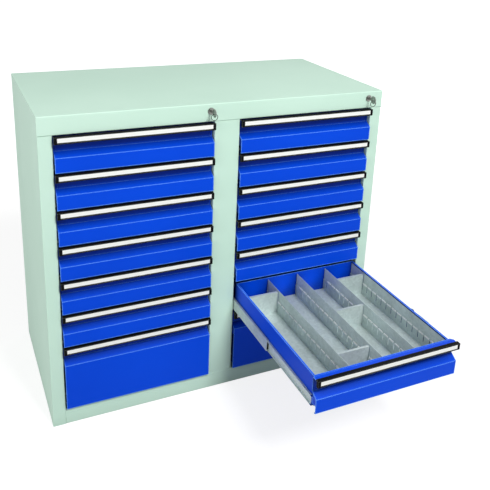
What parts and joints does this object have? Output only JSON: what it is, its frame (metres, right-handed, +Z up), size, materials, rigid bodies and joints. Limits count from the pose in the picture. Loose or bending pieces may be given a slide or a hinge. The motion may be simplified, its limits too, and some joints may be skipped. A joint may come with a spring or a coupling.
{
  "type": "multi-drawer tool cabinet",
  "caption": "Low steel cabinet with two columns of sliding drawers on telescopic slides, bar handles, key locks with blocking bars and one open drawer with dividers.",
  "frame": {"origin": "On the floor, at the middle of the cabinet's own footprint, with the open drawer left out of it", "axes": "+Z up, +X to the right as seen from the front, +Y from the front to the back"},
  "size_m": [1, 0.9906, 0.9],
  "materials": {
    "carcass_paint": "satin",
    "front_paint": "satin",
    "black_plastic": "satin",
    "galvanised_steel": "matt",
    "nickel": "bright"
  },
  "bodies": {
    "cabinet": {"top_panel": "carcass_paint", "left_side_panel": "carcass_paint", "right_side_panel": "carcass_paint", "back_panel": "carcass_paint", "base_panel": "carcass_paint", "centre_stile": "carcass_paint", "centre_partition": "carcass_paint", "uprights": "galvanised_steel", "cabinet_slides": "galvanised_steel", "lock_fittings": "nickel"},
    "drawer_body_left_1": {"drawer_left_1": "front_paint", "handle_left_1": "black_plastic"},
    "slide_body_left_1": {"mid_slides_left_1": "galvanised_steel"},
    "drawer_body_left_2": {"drawer_left_2": "front_paint", "handle_left_2": "black_plastic"},
    "slide_body_left_2": {"mid_slides_left_2": "galvanised_steel"},
    "drawer_body_left_3": {"drawer_left_3": "front_paint", "handle_left_3": "black_plastic"},
    "slide_body_left_3": {"mid_slides_left_3": "galvanised_steel"},
    "drawer_body_left_4": {"drawer_left_4": "front_paint", "handle_left_4": "black_plastic"},
    "slide_body_left_4": {"mid_slides_left_4": "galvanised_steel"},
    "drawer_body_left_5": {"drawer_left_5": "front_paint", "handle_left_5": "black_plastic"},
    "slide_body_left_5": {"mid_slides_left_5": "galvanised_steel"},
    "drawer_body_left_6": {"drawer_left_6": "front_paint", "handle_left_6": "black_plastic"},
    "slide_body_left_6": {"mid_slides_left_6": "galvanised_steel"},
    "drawer_body_left_7": {"drawer_left_7": "front_paint", "handle_left_7": "black_plastic"},
    "slide_body_left_7": {"mid_slides_left_7": "galvanised_steel"},
    "drawer_body_right_1": {"drawer_right_1": "front_paint", "handle_right_1": "black_plastic"},
    "slide_body_right_1": {"mid_slides_right_1": "galvanised_steel"},
    "drawer_body_right_2": {"drawer_right_2": "front_paint", "handle_right_2": "black_plastic"},
    "slide_body_right_2": {"mid_slides_right_2": "galvanised_steel"},
    "drawer_body_right_3": {"drawer_right_3": "front_paint", "handle_right_3": "black_plastic"},
    "slide_body_right_3": {"mid_slides_right_3": "galvanised_steel"},
    "drawer_body_right_4": {"drawer_right_4": "front_paint", "handle_right_4": "black_plastic"},
    "slide_body_right_4": {"mid_slides_right_4": "galvanised_steel"},
    "drawer_body_right_5": {"drawer_right_5": "front_paint", "handle_right_5": "black_plastic"},
    "slide_body_right_5": {"mid_slides_right_5": "galvanised_steel"},
    "drawer_body_right_6": {"drawer_right_6": "front_paint", "handle_right_6": "black_plastic", "long_dividers": "galvanised_steel", "cross_dividers": "galvanised_steel"},
    "slide_body_right_6": {"mid_slides_right_6": "galvanised_steel"},
    "drawer_body_right_7": {"drawer_right_7": "front_paint", "handle_right_7": "black_plastic"},
    "slide_body_right_7": {"mid_slides_right_7": "galvanised_steel"},
    "lock_left": {"lock_plug_left": "nickel"},
    "ring_left": {"key_ring_left": "black_plastic"},
    "bar_left": {"lock_bar_left": "galvanised_steel"},
    "lock_right": {"lock_plug_right": "nickel"},
    "ring_right": {"key_ring_right": "black_plastic"},
    "bar_right": {"lock_bar_right": "galvanised_steel"}
  },
  "joints": [
    {"name": "drawer_left_1_pull", "type": "slide", "parent": "cabinet", "child": "drawer_body_left_1", "axis": [0, -1, 0], "range_m": [0, 0.4776]},
    {"name": "mid_slides_left_1_run", "type": "slide", "parent": "cabinet", "child": "slide_body_left_1", "axis": [0, -1, 0], "range_m": [0, 0.2388]},
    {"name": "drawer_left_2_pull", "type": "slide", "parent": "cabinet", "child": "drawer_body_left_2", "axis": [0, -1, 0], "range_m": [0, 0.4776]},
    {"name": "mid_slides_left_2_run", "type": "slide", "parent": "cabinet", "child": "slide_body_left_2", "axis": [0, -1, 0], "range_m": [0, 0.2388]},
    {"name": "drawer_left_3_pull", "type": "slide", "parent": "cabinet", "child": "drawer_body_left_3", "axis": [0, -1, 0], "range_m": [0, 0.4776]},
    {"name": "mid_slides_left_3_run", "type": "slide", "parent": "cabinet", "child": "slide_body_left_3", "axis": [0, -1, 0], "range_m": [0, 0.2388]},
    {"name": "drawer_left_4_pull", "type": "slide", "parent": "cabinet", "child": "drawer_body_left_4", "axis": [0, -1, 0], "range_m": [0, 0.4776]},
    {"name": "mid_slides_left_4_run", "type": "slide", "parent": "cabinet", "child": "slide_body_left_4", "axis": [0, -1, 0], "range_m": [0, 0.2388]},
    {"name": "drawer_left_5_pull", "type": "slide", "parent": "cabinet", "child": "drawer_body_left_5", "axis": [0, -1, 0], "range_m": [0, 0.4776]},
    {"name": "mid_slides_left_5_run", "type": "slide", "parent": "cabinet", "child": "slide_body_left_5", "axis": [0, -1, 0], "range_m": [0, 0.2388]},
    {"name": "drawer_left_6_pull", "type": "slide", "parent": "cabinet", "child": "drawer_body_left_6", "axis": [0, -1, 0], "range_m": [0, 0.4776]},
    {"name": "mid_slides_left_6_run", "type": "slide", "parent": "cabinet", "child": "slide_body_left_6", "axis": [0, -1, 0], "range_m": [0, 0.2388]},
    {"name": "drawer_left_7_pull", "type": "slide", "parent": "cabinet", "child": "drawer_body_left_7", "axis": [0, -1, 0], "range_m": [0, 0.4776]},
    {"name": "mid_slides_left_7_run", "type": "slide", "parent": "cabinet", "child": "slide_body_left_7", "axis": [0, -1, 0], "range_m": [0, 0.2388]},
    {"name": "drawer_right_1_pull", "type": "slide", "parent": "cabinet", "child": "drawer_body_right_1", "axis": [0, -1, 0], "range_m": [0, 0.4776]},
    {"name": "mid_slides_right_1_run", "type": "slide", "parent": "cabinet", "child": "slide_body_right_1", "axis": [0, -1, 0], "range_m": [0, 0.2388]},
    {"name": "drawer_right_2_pull", "type": "slide", "parent": "cabinet", "child": "drawer_body_right_2", "axis": [0, -1, 0], "range_m": [0, 0.4776]},
    {"name": "mid_slides_right_2_run", "type": "slide", "parent": "cabinet", "child": "slide_body_right_2", "axis": [0, -1, 0], "range_m": [0, 0.2388]},
    {"name": "drawer_right_3_pull", "type": "slide", "parent": "cabinet", "child": "drawer_body_right_3", "axis": [0, -1, 0], "range_m": [0, 0.4776]},
    {"name": "mid_slides_right_3_run", "type": "slide", "parent": "cabinet", "child": "slide_body_right_3", "axis": [0, -1, 0], "range_m": [0, 0.2388]},
    {"name": "drawer_right_4_pull", "type": "slide", "parent": "cabinet", "child": "drawer_body_right_4", "axis": [0, -1, 0], "range_m": [0, 0.4776]},
    {"name": "mid_slides_right_4_run", "type": "slide", "parent": "cabinet", "child": "slide_body_right_4", "axis": [0, -1, 0], "range_m": [0, 0.2388]},
    {"name": "drawer_right_5_pull", "type": "slide", "parent": "cabinet", "child": "drawer_body_right_5", "axis": [0, -1, 0], "range_m": [0, 0.4776]},
    {"name": "mid_slides_right_5_run", "type": "slide", "parent": "cabinet", "child": "slide_body_right_5", "axis": [0, -1, 0], "range_m": [0, 0.2388]},
    {"name": "drawer_right_6_pull", "type": "slide", "parent": "cabinet", "child": "drawer_body_right_6", "axis": [0, -1, 0], "range_m": [-0.4776, 0]},
    {"name": "mid_slides_right_6_run", "type": "slide", "parent": "cabinet", "child": "slide_body_right_6", "axis": [0, -1, 0], "range_m": [-0.2388, 0]},
    {"name": "drawer_right_7_pull", "type": "slide", "parent": "cabinet", "child": "drawer_body_right_7", "axis": [0, -1, 0], "range_m": [0, 0.4776]},
    {"name": "mid_slides_right_7_run", "type": "slide", "parent": "cabinet", "child": "slide_body_right_7", "axis": [0, -1, 0], "range_m": [0, 0.2388]},
    {"name": "key_turn_left", "type": "hinge", "parent": "cabinet", "child": "lock_left", "pos_m": [-0.049, -0.25, 0.88], "axis": [0, 1, 0], "range_deg": [0, 90]},
    {"name": "bar_lift_left", "type": "slide", "parent": "cabinet", "child": "bar_left", "axis": [0, 0, 1], "range_m": [0, 0.008]},
    {"name": "ring_swing_left", "type": "hinge", "parent": "lock_left", "child": "ring_left", "pos_m": [-0.049, -0.275, 0.87865], "axis": [1, 0, 0], "range_deg": [-45, 45]},
    {"name": "key_turn_right", "type": "hinge", "parent": "cabinet", "child": "lock_right", "pos_m": [0.452, -0.25, 0.88], "axis": [0, 1, 0], "range_deg": [0, 90]},
    {"name": "bar_lift_right", "type": "slide", "parent": "cabinet", "child": "bar_right", "axis": [0, 0, 1], "range_m": [0, 0.008]},
    {"name": "ring_swing_right", "type": "hinge", "parent": "lock_right", "child": "ring_right", "pos_m": [0.452, -0.275, 0.87865], "axis": [1, 0, 0], "range_deg": [-45, 45]}
  ],
  "couplings": [
    {"joint": "mid_slides_left_1_run", "follows": "drawer_left_1_pull", "ratio": 0.5},
    {"joint": "mid_slides_left_2_run", "follows": "drawer_left_2_pull", "ratio": 0.5},
    {"joint": "mid_slides_left_3_run", "follows": "drawer_left_3_pull", "ratio": 0.5},
    {"joint": "mid_slides_left_4_run", "follows": "drawer_left_4_pull", "ratio": 0.5},
    {"joint": "mid_slides_left_5_run", "follows": "drawer_left_5_pull", "ratio": 0.5},
    {"joint": "mid_slides_left_6_run", "follows": "drawer_left_6_pull", "ratio": 0.5},
    {"joint": "mid_slides_left_7_run", "follows": "drawer_left_7_pull", "ratio": 0.5},
    {"joint": "mid_slides_right_1_run", "follows": "drawer_right_1_pull", "ratio": 0.5},
    {"joint": "mid_slides_right_2_run", "follows": "drawer_right_2_pull", "ratio": 0.5},
    {"joint": "mid_slides_right_3_run", "follows": "drawer_right_3_pull", "ratio": 0.5},
    {"joint": "mid_slides_right_4_run", "follows": "drawer_right_4_pull", "ratio": 0.5},
    {"joint": "mid_slides_right_5_run", "follows": "drawer_right_5_pull", "ratio": 0.5},
    {"joint": "mid_slides_right_6_run", "follows": "drawer_right_6_pull", "ratio": 0.5},
    {"joint": "mid_slides_right_7_run", "follows": "drawer_right_7_pull", "ratio": 0.5},
    {"joint": "key_turn_left", "follows": "bar_lift_left", "rad_per_m": 196.35},
    {"joint": "key_turn_right", "follows": "bar_lift_right", "rad_per_m": 196.35}
  ]
}
